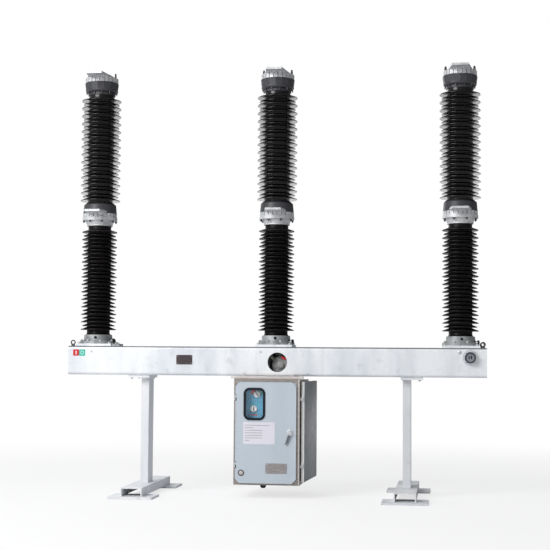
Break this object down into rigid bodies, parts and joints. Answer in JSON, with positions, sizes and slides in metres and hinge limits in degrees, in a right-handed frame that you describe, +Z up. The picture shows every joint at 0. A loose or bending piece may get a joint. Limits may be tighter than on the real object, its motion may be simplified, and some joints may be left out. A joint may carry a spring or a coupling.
{
  "type": "substation circuit breaker",
  "caption": "High-voltage outdoor circuit breaker: poles with ribbed insulators on a steel beam, with a drive cabinet below and channel-section legs.",
  "frame": {"origin": "on the floor, under the middle pole at the centre of the stand", "axes": "+Z up, +X along the beam to the right as seen from the front, -Y towards the cabinet door at the front"},
  "size_m": [3.98, 1.38, 4.084],
  "materials": {
    "galvanised": "dull zinc",
    "castings": "cast, satin",
    "insulator": "satin silicone",
    "dark_hood": "satin",
    "cabinet_paint": "satin",
    "stainless": "brushed",
    "panel_blue": "satin",
    "bright_steel": "polished",
    "gasket": "matte",
    "glass": "clear",
    "gauge": "satin"
  },
  "bodies": {
    "frame": {"floor_plates_left": "galvanised", "floor_plates_right": "galvanised", "base_channel_left": "galvanised", "base_channel_right": "galvanised", "post_left": "galvanised", "post_right": "galvanised", "beam_front_channel": "galvanised", "beam_back_channel": "galvanised", "beam_end_plates": "galvanised", "crank_housing": "castings", "lifting_eyes": "galvanised", "density_gauge": "gauge", "pole_base_plates": "galvanised", "cabinet_roof": "stainless", "cabinet_floor": "stainless", "cabinet_left_wall": "cabinet_paint", "cabinet_back_wall": "cabinet_paint", "cabinet_side_uprights": "stainless", "cabinet_side_rails": "stainless", "cabinet_front_frame": "stainless", "mechanism_panel": "panel_blue", "hinge_halves": "bright_steel", "base_casting_left": "castings", "support_insulator_left": "insulator", "middle_casting_left": "castings", "lower_terminal_left": "castings", "lower_hood_left": "dark_hood", "interrupter_insulator_left": "insulator", "upper_hood_left": "dark_hood", "upper_terminal_left": "castings", "lifting_lugs_left": "castings", "base_casting_middle": "castings", "support_insulator_middle": "insulator", "middle_casting_middle": "castings", "lower_terminal_middle": "castings", "lower_hood_middle": "dark_hood", "interrupter_insulator_middle": "insulator", "upper_hood_middle": "dark_hood", "upper_terminal_middle": "castings", "lifting_lugs_middle": "castings", "base_casting_right": "castings", "support_insulator_right": "insulator", "middle_casting_right": "castings", "lower_terminal_right": "castings", "lower_hood_right": "dark_hood", "interrupter_insulator_right": "insulator", "upper_hood_right": "dark_hood", "upper_terminal_right": "castings", "lifting_lugs_right": "castings"},
    "front_door": {"front_door": "cabinet_paint", "window_gasket": "gasket", "window_pane": "glass"},
    "door_handle": {"door_handle": "bright_steel"},
    "side_door": {"side_door": "cabinet_paint"}
  },
  "joints": [
    {"name": "front_door_hinge", "type": "hinge", "parent": "frame", "child": "front_door", "pos_m": [-0.328, -0.395, 0.6], "axis": [0, 0, -1], "range_deg": [0, 110]},
    {"name": "door_handle_turn", "type": "hinge", "parent": "front_door", "child": "door_handle", "pos_m": [0.192, -0.405, 0.607], "axis": [0, 1, 0], "range_deg": [0, 90]},
    {"name": "side_door_hinge", "type": "hinge", "parent": "frame", "child": "side_door", "pos_m": [0.2995, -0.354, 0.6], "axis": [0, 0, -1], "range_deg": [-3.5, 101.5]}
  ]
}
